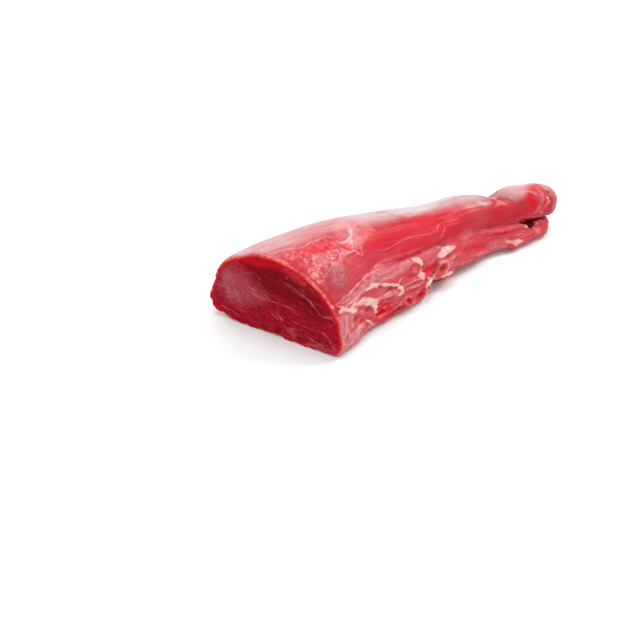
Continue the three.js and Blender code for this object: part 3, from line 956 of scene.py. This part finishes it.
        # Silverskin over the back, also a painted sheen: on surfaces facing back, less where they face down,
        # thicker away from the cut and thinner at the tail.
        sheet_and_sheen = (0.55 + 0.35 * ramp(x + 12.0 * streaks, 50.0, 110.0)) * (1.0 - 0.3 * ramp(x, 195.0, 212.0))
        self.cover(Layer.SILVERSKIN_AND_SHEEN, back * (0.4 + 0.6 * upward) * (sheet_and_sheen + 0.35 * clouds - 0.06))
        self.cover(Layer.STRAP, strap)
        self.cover(Layer.MOTTLE, 0.5 * below)
        self.cover(Layer.PURPLE, np.maximum(0.5 * below, 0.4 * tail))
        self.cover(Layer.FAT, 0.8 * hidden_fat)
        self.height += outside * relief.fibre * (streaks + threads)
        self.height += back * (relief.back_streak * streaks + relief.back_thread * threads)
        crest = ramp(facing_up + 0.1 * clouds, 0.4, 0.7) * outside
        for furrow in FURROWS:
            self.height += crest * furrow.relief(x + clouds, y)
        torn = strap * (1.0 - 0.6 * ramp(x, 115.0, 150.0) + 0.7 * ramp(x, 185.0, 200.0))
        self.height += torn * (relief.lump * lumps + relief.pit * pits) + strap * relief.shred * shreds
        self.height -= np.interp(x, *zip(*FOOT_TUCK)) * strap * ramp(z, 12.0, 3.0)
        self.height += self.layers[Layer.MOTTLE] * (relief.pit * pits + relief.torn_lump * lumps)
        self.height += relief.hidden_fat * hidden_fat
        steps = RIM_STEPS.at(self.points) + 0.5 * FINE_RIM_STEPS.at(self.points)
        self.height += relief.rim_step * self.near_rim * steps
        self.shade_folds(strap)
        grain = relief.cut_grain * CUT_GRAIN.at(self.points) + relief.cut_swell * CUT_SWELLS.at(self.points)
        self.height += cut * grain

    def shade_folds(self, strap: np.ndarray) -> None:
        """Paints shade into what lies in folds and light onto what stands out, most where the meat is torn.

        Args:
            strap: How surely each vertex is on the side strap.
        """
        outside = 1.0 - self.layers[Layer.CUT]
        rough = np.clip(strap + self.layers[Layer.MOTTLE], 0.0, 1.0)
        bulge = self.height - self.spread(self.height, 40)
        bare = outside * (1.0 - 0.7 * self.layers[Layer.SILVERSKIN_AND_SHEEN])
        # painted shade in the folds
        self.cover(Layer.SHADE, (0.3 + 0.25 * rough) * ramp(bulge, -0.2, -0.8) * bare)
        # painted light on what stands out
        self.cover(Layer.PALE, 0.35 * rough * ramp(bulge, 0.15, 0.7) * outside)

    def cover(self, layer: Layer, amount: np.ndarray) -> None:
        """Raises a layer to at least the given amount at each vertex."""
        held = self.layers[layer]
        np.maximum(held, np.clip(amount, 0.0, 1.0), out=held)

    def strap_share(self) -> np.ndarray:
        """Returns how surely each place is on the side strap, from 0 to 1."""
        y, z = self.points[:, 1], self.points[:, 2]
        return ramp(self.strap_top() - z, -1.0, 1.5) * ramp(self.normals[:, 1], 0.2, -0.3) * (y < 25.0)

    def strap_top(self) -> np.ndarray:
        """Returns how high the side strap reaches beside each place, in mm."""
        return np.interp(self.points[:, 0], *zip(*STRAP_TOP))

    def write(self) -> None:
        """Moves the vertices out by the relief and stores the layers as mesh attributes."""
        moved = self.points + self.normals * self.height[:, None]
        moved[:, 2] = np.maximum(moved[:, 2], 0.0)
        self.mesh.vertices.foreach_set("co", (moved * MM + self.corner).ravel())
        for layer, values in self.layers.items():
            attribute = self.mesh.attributes.new(layer.value, "FLOAT", "POINT")
            attribute.data.foreach_set("value", values.astype(np.float32))
        flow = self.mesh.attributes.new(FLOW, "FLOAT_VECTOR", "POINT")
        flow.data.foreach_set("vector", (self.flow * MM).ravel())
        self.mesh.update()


class NodePen:
    """Lays nodes in a shader tree and links them."""

    MIX_COLOURS = (6, 7)  # where a Mix node has its colour inputs
    MIX_RESULT = 2  # where it has its colour output

    def __init__(self, tree: bpy.types.NodeTree) -> None:
        """Starts on an empty tree."""
        self.tree = tree
        self.count = 0

    def node(self, kind: str, given: dict[str, object] | None = None, **settings: object) -> bpy.types.Node:
        """Adds a node.

        Args:
            kind: The node's type name.
            given: What its inputs get, by name: sockets or plain values.
            settings: Its properties.

        Returns:
            The node.
        """
        columns = 12
        node = self.tree.nodes.new(kind)
        node.location = (200 * (self.count % columns), -260 * (self.count // columns))
        self.count += 1
        for name, value in settings.items():
            setattr(node, name, value)
        for name, value in (given or {}).items():
            self.feed(node.inputs[name], value)
        return node

    def feed(self, socket: Socket, value: object) -> None:
        """Links a socket to another, or sets it to a plain value."""
        if isinstance(value, bpy.types.NodeSocket):
            self.tree.links.new(value, socket)
        elif isinstance(value, tuple) and len(value) == 3 and socket.type == "RGBA":
            socket.default_value = (*value, 1.0)
        else:
            socket.default_value = value

    def value(self, operation: str, *inputs: object) -> Socket:
        """Adds a Math node.

        Args:
            operation: What it does.
            inputs: Its inputs in order, sockets or numbers.

        Returns:
            Its output.
        """
        node = self.node("ShaderNodeMath", operation=operation)
        for socket, value in zip(node.inputs, inputs):
            self.feed(socket, value)
        return node.outputs[0]

    def times(self, first: object, second: object) -> Socket:
        """Returns the product of two sockets or numbers."""
        return self.value("MULTIPLY", first, second)

    def total(self, first: Socket, share: float, second: Socket, other_share: float) -> Socket:
        """Returns a share of one socket and a share of another, added."""
        return self.value("ADD", self.times(first, share), self.times(second, other_share))

    def mix(self, factor: object, first: object, second: object) -> Socket:
        """Adds a colour Mix node.

        Args:
            factor: How much of the second colour.
            first: A colour or socket.
            second: A colour or socket.

        Returns:
            The mixed colour.
        """
        node = self.node("ShaderNodeMix", {"Factor": factor}, data_type="RGBA")
        for place, colour in zip(self.MIX_COLOURS, (first, second)):
            self.feed(node.inputs[place], colour)
        return node.outputs[self.MIX_RESULT]

    def spread(self, value: object, low: float, high: float, to_low: float, to_high: float) -> Socket:
        """Adds a Map Range node.

        Args:
            value: The socket to map.
            low: The lowest value that counts.
            high: The highest value that counts.
            to_low: What low becomes.
            to_high: What high becomes.

        Returns:
            The mapped value, held between the two ends.
        """
        given = {"Value": value, "From Min": low, "From Max": high, "To Min": to_low, "To Max": to_high}
        return self.node("ShaderNodeMapRange", given).outputs["Result"]

    def group(self, tree: bpy.types.NodeTree, **given: object) -> Socket:
        """Adds a node group, given its inputs by name, and returns its first output."""
        return self.node("ShaderNodeGroup", given, node_tree=tree).outputs[0]

    def noise(self, **given: object) -> Socket:
        """Adds a noise texture, given its inputs by name, and returns its waves."""
        return self.node("ShaderNodeTexNoise", given).outputs["Fac"]

    def squeeze(self, vector: Socket, stretch: object) -> Socket:
        """Squeezes coordinates along x, which draws out what follows them.

        Args:
            vector: The coordinates.
            stretch: What is left of their x.

        Returns:
            The squeezed coordinates.
        """
        shares = self.node("ShaderNodeCombineXYZ", {"X": stretch, "Y": 1.0, "Z": 1.0})
        squeezed = self.node("ShaderNodeVectorMath", operation="MULTIPLY")
        self.feed(squeezed.inputs[0], vector)
        self.feed(squeezed.inputs[1], shares.outputs[0])
        return squeezed.outputs[0]

    def layer(self, layer: Layer) -> Socket:
        """Returns how much of a layer there is."""
        return self.node("ShaderNodeAttribute", attribute_name=layer.value).outputs["Fac"]

    def ragged(self, layer: Layer, waves: Socket, raggedness: float, most: float, soft: float) -> Socket:
        """Gives a layer a ragged edge.

        Args:
            layer: The layer.
            waves: Waves from 0 to 1 that break up its edge.
            raggedness: How deep they bite.
            most: How much of the layer there is at its middle.
            soft: Half the width of the edge, as a share of the layer.

        Returns:
            How much of the layer there is.
        """
        amount = self.layer(layer)
        bite = self.times(self.value("SUBTRACT", waves, 0.5), raggedness)
        shown = self.spread(self.value("ADD", amount, bite), 0.5 - soft, 0.5 + soft, 0.0, most)
        return self.times(shown, self.spread(amount, 0.02, 0.3, 0.0, 1.0))

    def worn(self, layer: Layer, waves: Socket, least: float) -> Socket:
        """Wears a layer thin in places.

        Args:
            layer: The layer.
            waves: Waves from 0 to 1; it is thinnest where they are low.
            least: What is left of it there.

        Returns:
            How much of the layer there is.
        """
        return self.times(self.layer(layer), self.spread(waves, 0.38, 0.6, least, 1.0))


def start_group(name: str, usual: dict[str, float], result: str) -> tuple[NodePen, object, bpy.types.Node]:
    """Starts a node group that makes one number from coordinates and numbers.

    Args:
        name: The group's name.
        usual: Its number inputs, and what each is unless it is given.
        result: The name of its output.

    Returns:
        A pen for the group, its inputs, and the node that its output goes into.
    """
    tree = bpy.data.node_groups.new(name, "ShaderNodeTree")
    tree.interface.new_socket("Vector", in_out="INPUT", socket_type="NodeSocketVector")
    for label, number in usual.items():
        socket = tree.interface.new_socket(label, in_out="INPUT", socket_type="NodeSocketFloat")
        socket.default_value = number
    tree.interface.new_socket(result, in_out="OUTPUT", socket_type="NodeSocketFloat")
    pen = NodePen(tree)
    return pen, pen.node("NodeGroupInput").outputs, pen.node("NodeGroupOutput")


@dataclass(frozen=True)
class GrainGroup:
    """A node group of long soft streaks, as muscle fibres and the strands of a membrane make.

    Attributes:
        name: The group's name.
        detail: How many finer sizes of wave it holds.
    """

    name: str = "meat_grain"
    detail: float = 4.0

    def build(self) -> bpy.types.NodeTree:
        """Returns the group: Vector, Stretch, Scale and Twist in, Streaks out."""
        usual = {"Stretch": 0.1, "Scale": 400.0, "Twist": 0.3}
        pen, given, result = start_group(self.name, usual, "Streaks")
        drawn = pen.squeeze(given["Vector"], given["Stretch"])
        waves = pen.noise(Vector=drawn, Scale=given["Scale"], Detail=self.detail, Distortion=given["Twist"])
        pen.feed(result.inputs["Streaks"], waves)
        return pen.tree


@dataclass(frozen=True)
class MarblingGroup:
    """A node group of thin branching lines, as the fine fat of marbled meat makes.

    Attributes:
        name: The group's name.
        detail: How many finer sizes of wave its lines hold.
        twist: How far the lines curl.
        break_scale: The scale of the gaps in them, as a share of the lines' own.
    """

    name: str = "fine_marbling"
    detail: float = 3.0
    twist: float = 0.6
    break_scale: float = 0.6

    def build(self) -> bpy.types.NodeTree:
        """Returns the group: Vector, Stretch, Scale and Thickness in, Lines out."""
        usual = {"Stretch": 0.5, "Scale": 120.0, "Thickness": 0.02}
        pen, given, result = start_group(self.name, usual, "Lines")
        drawn = pen.squeeze(given["Vector"], given["Stretch"])
        waves = pen.noise(Vector=drawn, Scale=given["Scale"], Detail=self.detail, Distortion=self.twist)
        off = pen.value("ABSOLUTE", pen.value("SUBTRACT", waves, 0.5))
        line = pen.value("SUBTRACT", 1.0, pen.value("DIVIDE", off, given["Thickness"]))
        breaks = pen.noise(Vector=drawn, Scale=pen.times(given["Scale"], self.break_scale))
        unbroken = pen.spread(breaks, 0.48, 0.62, 0.0, 1.0)
        pen.feed(result.inputs["Lines"], pen.times(pen.value("MAXIMUM", line, 0.0), unbroken))
        return pen.tree


@dataclass(frozen=True)
class Waves:
    """Random waves from 0 to 1 that the finish's colours follow.

    Attributes:
        streaks: Long streaks along the fibres.
        threads: Finer streaks along them.
        flecks: Short streaks along them.
        blots: Small spots.
        clouds: Large soft spots.
        strands: Long thin lines along the fibres.
        marbling: Shorter ones.
        curls: Thin curled lines.
    """

    streaks: Socket
    threads: Socket
    flecks: Socket
    blots: Socket
    clouds: Socket
    strands: Socket
    marbling: Socket
    curls: Socket


@dataclass(frozen=True)
class RawBeef:
    """The finish of raw beef, which shows lean, membrane, fat and the cut's grain, and painted shade, sheen
    and light, as its layers say.

    Attributes:
        deep: Lean meat in the fibres' hollows.
        bright: Lean meat on the fibres.
        strap: The lean meat of the side strap, painted a little lighter to make up for the shade it lies in.
        raw: Freshly torn meat; along the flank's lit band it is also painted light.
        shade: Painted shade in folds, pits, slits and hollows, and over parts that lie in shade.
        silver_and_sheen: Silverskin; over the back it is also a painted sheen.
        purple: Thin membrane over lean meat.
        pale: Veins, lines and edges of membrane, and painted light on ridges.
        fat: Fat.
        cut_deep: The cut face between its bundles of fibres.
        cut_bright: The cut face on its bundles.
        sheen: The painted purple sheen on the cut, and the underside seen at its corner.
        marbling: The fine fat in the cut.
        rim: The band inside the cut's edge; its bright red is partly a painted glow through the rounded rim.
        edge: The edge of the cut, where the outer layer rolls over it; its light coral is partly painted
            light.
        smoothest: The least roughness.
        roughest: The most.
        specular: How strongly the meat under its wet coat reflects.
        scatter: How much of the light spreads inside the meat.
        scatter_reach: How far red, green and blue light spread, as shares of the scale.
        scatter_scale: The scale of that in metres.
        coat: How strong the wet coat is.
        dull_coat: How strong it is where the meat is dullest.
        coat_roughness: How rough the coat is.
        bump_strength: How strongly the finest relief shows.
        bump_height: How high that relief is in metres.
    """

    deep: Colour = (0.42, 0.008, 0.018)
    bright: Colour = (0.60, 0.028, 0.045)
    strap: Colour = (0.62, 0.030, 0.050)
    raw: Colour = (0.71, 0.008, 0.018)
    shade: Colour = (0.09, 0.001, 0.003)
    silver_and_sheen: Colour = (0.50, 0.435, 0.445)
    purple: Colour = (0.54, 0.16, 0.19)
    pale: Colour = (0.80, 0.42, 0.42)
    fat: Colour = (0.80, 0.54, 0.48)
    cut_deep: Colour = (0.20, 0.001, 0.009)
    cut_bright: Colour = (0.41, 0.009, 0.025)
    sheen: Colour = (0.47, 0.15, 0.19)
    marbling: Colour = (0.62, 0.13, 0.15)
    rim: Colour = (0.58, 0.004, 0.010)
    edge: Colour = (0.85, 0.21, 0.18)
    smoothest: float = 0.34
    roughest: float = 0.5
    specular: float = 0.01
    scatter: float = 0.08
    scatter_reach: Triple = (1.0, 0.25, 0.18)
    scatter_scale: float = 0.0015
    coat: float = 0.36
    dull_coat: float = 0.01
    coat_roughness: float = 0.22
    bump_strength: float = 0.5
    bump_height: float = 0.0008

    def build(self) -> bpy.types.Material:
        """Returns the material."""
        material = bpy.data.materials.new("raw_beef")
        material.use_nodes = True
        material.node_tree.nodes.clear()
        pen = NodePen(material.node_tree)
        waves = self.waves(pen)
        cut, shade = pen.layer(Layer.CUT), pen.layer(Layer.SHADE)
        colour = pen.mix(cut, self.outside_colour(pen, waves), self.cut_colour(pen, waves))
        # The rim and edge bands are partly painted light along the cut's rounded rim.
        colour = pen.mix(pen.worn(Layer.RIM, waves.blots, 0.6), colour, self.rim)
        colour = pen.mix(pen.worn(Layer.EDGE, waves.blots, 0.4), colour, self.edge)
        fat = pen.mix(pen.spread(waves.blots, 0.4, 0.6, 0.0, 0.7), self.fat, self.pale)
        torn = pen.total(waves.flecks, 0.5, waves.threads, 0.5)
        colour = pen.mix(pen.ragged(Layer.FAT, torn, 4.4, 0.95, 0.45), colour, fat)
        dull = pen.value("MAXIMUM", pen.value("MAXIMUM", cut, shade), pen.times(pen.layer(Layer.RAW), 0.7))
        shader = pen.node("ShaderNodeBsdfPrincipled", {
            "Base Color": colour,
            "Roughness": pen.spread(waves.blots, 0.3, 0.7, self.smoothest, self.roughest),
            "Specular IOR Level": self.specular,
            "Subsurface Weight": self.scatter,
            "Subsurface Radius": self.scatter_reach,
            "Subsurface Scale": self.scatter_scale,
            "Coat Weight": pen.spread(dull, 0.0, 1.0, self.coat, self.dull_coat),
            "Coat Roughness": self.coat_roughness,
            "Normal": self.bump(pen, waves),
        })
        pen.node("ShaderNodeOutputMaterial", {"Surface": shader.outputs[0]})
        return material

    def waves(self, pen: NodePen) -> Waves:
        """Returns the waves, laid as two kinds of group."""
        place = pen.node("ShaderNodeTexCoord").outputs["Object"]
        flow = pen.node("ShaderNodeAttribute", attribute_name=FLOW).outputs["Vector"]
        grain = GrainGroup().build()
        branches = MarblingGroup().build()
        return Waves(
            streaks=pen.group(grain, Vector=flow, Stretch=0.07, Scale=300.0),
            threads=pen.group(grain, Vector=flow, Stretch=0.06, Scale=1000.0),
            flecks=pen.group(grain, Vector=flow, Stretch=0.4, Scale=560.0),
            blots=pen.group(grain, Vector=place, Stretch=0.8, Scale=420.0),
            clouds=pen.group(grain, Vector=place, Stretch=0.5, Scale=60.0),
            strands=pen.group(branches, Vector=flow, Stretch=0.1, Scale=190.0, Thickness=0.03),
            marbling=pen.group(branches, Vector=flow, Stretch=0.32, Scale=170.0, Thickness=0.035),
            curls=pen.group(branches, Vector=place, Stretch=0.8, Scale=520.0, Thickness=0.08),
        )

    def outside_colour(self, pen: NodePen, waves: Waves) -> Socket:
        """Returns the colour of the outside without its fat."""
        mixed = pen.total(waves.streaks, 0.4, waves.threads, 0.6)
        colour = pen.mix(pen.spread(mixed, 0.28, 0.72, 0.0, 1.0), self.deep, self.bright)
        colour = pen.mix(pen.spread(waves.clouds, 0.45, 0.7, 0.0, 0.25), colour, self.purple)
        strap, mottle = pen.layer(Layer.STRAP), pen.layer(Layer.MOTTLE)
        # The strap's lean is painted a little lighter to make up for the shade it lies in.
        colour = pen.mix(pen.times(strap, 0.5), colour, self.strap)
        colour = pen.mix(pen.times(pen.worn(Layer.STRAP, waves.clouds, 0.0), 0.3), colour, self.purple)
        colour = pen.mix(pen.worn(Layer.PURPLE, waves.flecks, 0.5), colour, self.purple)
        colour = pen.mix(pen.times(pen.worn(Layer.MOTTLE, waves.blots, 0.15), 0.17), colour, self.pale)
        colour = pen.mix(pen.times(mottle, pen.times(waves.curls, 0.6)), colour, self.pale)
        colour = pen.mix(pen.times(strap, pen.times(waves.strands, 0.4)), colour, self.pale)
        # torn red meat, and painted light on the flank's lit band
        colour = pen.mix(pen.worn(Layer.RAW, waves.blots, 0.7), colour, self.raw)
        soft = pen.total(mixed, 0.6, waves.clouds, 0.4)
        # film: the silverskin, which over the back is also a painted sheen
        film = pen.times(pen.layer(Layer.SILVERSKIN_AND_SHEEN), pen.spread(soft, 0.4, 0.56, 0.55, 1.0))
        colour = pen.mix(film, colour, self.silver_and_sheen)
        colour = pen.mix(pen.times(film, pen.times(waves.strands, 0.4)), colour, self.bright)
        # veins and membrane lines, and painted light on ridges
        colour = pen.mix(pen.worn(Layer.PALE, waves.flecks, 0.45), colour, self.pale)
        # painted shade
        return pen.mix(pen.layer(Layer.SHADE), colour, self.shade)

    def cut_colour(self, pen: NodePen, waves: Waves) -> Socket:
        """Returns the colour of the cut face."""
        colour = pen.mix(pen.spread(waves.flecks, 0.34, 0.66, 0.0, 1.0), self.cut_deep, self.cut_bright)
        colour = pen.mix(pen.spread(waves.clouds, 0.4, 0.65, 0.0, 0.4), colour, self.cut_bright)
        colour = pen.mix(pen.times(waves.marbling, 0.5), colour, self.marbling)
        grain = pen.total(waves.flecks, 0.5, waves.blots, 0.5)
        # painted purple sheen on the cut
        colour = pen.mix(pen.times(pen.worn(Layer.PURPLE, grain, 0.4), 0.64), colour, self.sheen)
        # painted shade on the cut
        colour = pen.mix(pen.times(pen.layer(Layer.SHADE), 0.8), colour, self.shade)
        return pen.mix(pen.worn(Layer.PALE, waves.flecks, 0.3), colour, self.marbling)

    def bump(self, pen: NodePen, waves: Waves) -> Socket:
        """Returns the normal of the finest relief, which is deepest where the meat is torn."""
        fine = pen.total(waves.streaks, 0.4, waves.threads, 0.3)
        rough = pen.total(waves.blots, 0.8, waves.flecks, 1.2)
        torn = pen.value("MAXIMUM", pen.layer(Layer.STRAP), pen.layer(Layer.MOTTLE))
        height = pen.value("ADD", fine, pen.times(rough, pen.spread(torn, 0.0, 1.0, 0.25, 0.7)))
        given = {"Strength": self.bump_strength, "Distance": self.bump_height, "Height": height}
        return pen.node("ShaderNodeBump", given).outputs["Normal"]


def select_only(piece: bpy.types.Object) -> None:
    """Deselects everything, then selects one piece and makes it active."""
    bpy.ops.object.select_all(action="DESELECT")
    piece.select_set(True)
    bpy.context.view_layer.objects.active = piece


def modify(piece: bpy.types.Object, kind: str, **settings: object) -> None:
    """Adds a modifier to a piece and applies it.

    Args:
        piece: The piece.
        kind: The modifier's type.
        settings: Its properties.
    """
    select_only(piece)
    modifier = piece.modifiers.new(kind.lower(), kind)
    for name, value in settings.items():
        setattr(modifier, name, value)
    bpy.ops.object.modifier_apply(modifier=modifier.name)


def soften(piece: bpy.types.Object, name: str, shares: np.ndarray, rounds: int) -> None:
    """Smooths a piece, more in some places than in others.

    Args:
        piece: The piece.
        name: The name of the vertex group that says where.
        shares: How much of the smoothing each vertex gets, from 0 to 1.
        rounds: How often it is smoothed.
    """
    group = piece.vertex_groups.new(name=name)
    for index, share in enumerate(shares):
        group.add([index], float(share), "REPLACE")
    modify(piece, "SMOOTH", factor=0.5, iterations=rounds, vertex_group=group.name)


@dataclass
class Tenderloin:
    """The piece of meat.

    Attributes:
        node: The solid that it stands for.
        weld: How near each other two corners of the solid are the same, in metres.
        voxel: The size of the fine mesh's faces in mm.
        smoothing: How often the solid's facets are smoothed away.
        rim_smoothing: How often the sharp rim of the cut is.
        view: The photograph's camera.
        relief: How high the waves of its surface are.
        finish: The material.
    """

    node: str = "tenderloin"
    weld: float = 0.00001
    voxel: float = 0.88
    smoothing: int = 26
    rim_smoothing: int = 24
    view: PhotoView = PhotoView()
    relief: Relief = Relief()
    finish: RawBeef = RawBeef()

    def corner(self) -> np.ndarray:
        """Returns the front corner of the cut on the table, in metres."""
        places = vertex_places(frame["nodes"][self.node].data)
        reach = (places @ CUT_NORMAL).max()
        x = places[:, 0].max() - LENGTH * MM
        y = (reach - x * CUT_NORMAL[0]) / CUT_NORMAL[1]
        return np.array([x, y, 0.0])

    def copy_solid(self) -> bpy.types.Object:
        """Returns a fine copy of the solid, free of the frame."""
        select_only(frame["nodes"][self.node])
        bpy.ops.object.duplicate()
        piece = bpy.context.object
        bpy.ops.object.parent_clear(type="CLEAR_KEEP_TRANSFORM")
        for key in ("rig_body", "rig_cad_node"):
            del piece[key]
        piece.name = "meat"
        piece.data.materials.clear()
        bpy.ops.object.mode_set(mode="EDIT")
        bpy.ops.mesh.select_all(action="SELECT")
        bpy.ops.mesh.remove_doubles(threshold=self.weld)
        bpy.ops.object.mode_set(mode="OBJECT")
        modify(piece, "REMESH", mode="VOXEL", voxel_size=self.voxel * MM)
        return piece

    def smooth(self, piece: bpy.types.Object, corner: np.ndarray) -> None:
        """Smooths the facets away, and least over the flat of the cut.

        Args:
            piece: The meat.
            corner: The front corner of the cut in the frame, in metres.
        """
        skin = Skin(piece, corner, self.view)
        skin.mark_cut()
        facets = 1.0 - 0.6 * skin.layers[Layer.CUT] - 0.4 * skin.strap_share()
        soften(piece, "facets", facets, self.smoothing)
        soften(piece, "rim", ramp(skin.near_rim, 0.0, 0.8), self.rim_smoothing)
        piece.vertex_groups.clear()

    def build(self) -> bpy.types.Object:
        """Returns the finished meat."""
        corner = self.corner()
        piece = self.copy_solid()
        self.smooth(piece, corner)
        skin = Skin(piece, corner, self.view)
        skin.mark_cut()
        skin.draw(ALL_MARKS)
        skin.grow(self.relief)
        skin.write()
        select_only(piece)
        bpy.ops.object.shade_smooth()
        piece.data.materials.append(self.finish.build())
        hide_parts(self.node)
        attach(piece, "root")
        LOG.info("%s: %d faces", piece.name, len(piece.data.polygons))
        return piece


@dataclass(frozen=True)
class Softbox:
    """A large soft light.

    Attributes:
        name: Its name.
        place: Where it stands, in metres.
        size: How wide and high it is, in metres.
        power: Its power in watts.
    """

    name: str
    place: Triple
    size: float
    power: float

    def build(self) -> None:
        """Adds the light, which faces the meat."""
        bpy.ops.object.light_add(type="AREA", location=self.place)
        light = bpy.context.object
        light.name = self.name
        light.data.shape = "SQUARE"
        light.data.size = self.size
        light.data.energy = self.power
        light.rotation_euler = Vector(self.place).to_track_quat("Z", "Y").to_euler()


@dataclass(frozen=True)
class Studio:
    """The plain white studio.

    Attributes:
        floor_size: How wide and long the floor is, in metres.
        floor_white: The floor's colour.
        floor_roughness: How rough it is.
        floor_specular: How strongly it reflects.
        air_strength: How bright the surroundings are.
        softboxes: The lights.
    """

    floor_size: float = 6.0
    floor_white: Colour = (0.89, 0.94, 0.94)
    floor_roughness: float = 0.9
    floor_specular: float = 0.1
    air_strength: float = 0.75
    softboxes: tuple[Softbox, ...] = (
        Softbox("top_softbox", (-0.15, 0.15, 1.5), 1.0, 11.0),
        Softbox("right_softbox", (0.85, -0.4, 1.15), 0.4, 8.0),
        Softbox("back_softbox", (0.9, 1.2, 0.35), 1.2, 7.0),
    )

    def build(self) -> None:
        """Adds the floor, the surroundings and the lights."""
        bpy.ops.object.select_all(action="DESELECT")
        bpy.ops.mesh.primitive_plane_add(size=self.floor_size)
        floor = bpy.context.object
        floor.name = "studio_floor"
        paint = bpy.data.materials.new("floor_white")
        paint.use_nodes = True
        shader = paint.node_tree.nodes["Principled BSDF"]
        shader.inputs["Base Color"].default_value = (*self.floor_white, 1.0)
        shader.inputs["Roughness"].default_value = self.floor_roughness
        shader.inputs["Specular IOR Level"].default_value = self.floor_specular
        floor.data.materials.append(paint)
        world = bpy.data.worlds.new("studio_air")
        world.use_nodes = True
        air = world.node_tree.nodes["Background"]
        air.inputs["Strength"].default_value = self.air_strength
        air.inputs["Color"].default_value = (1.0, 1.0, 1.0, 1.0)
        bpy.context.scene.world = world
        bpy.context.scene.view_settings.view_transform = "Standard"
        for softbox in self.softboxes:
            softbox.build()
        LOG.info("studio: %d softboxes", len(self.softboxes))


def main() -> None:
    """Builds the meat and the studio."""
    logging.basicConfig(level=logging.INFO, format="%(name)s %(message)s")
    tenderloin = Tenderloin()
    tenderloin.build()
    Studio().build()
    tenderloin.view.build(tenderloin.corner())


if __name__ == "__main__":
    main()
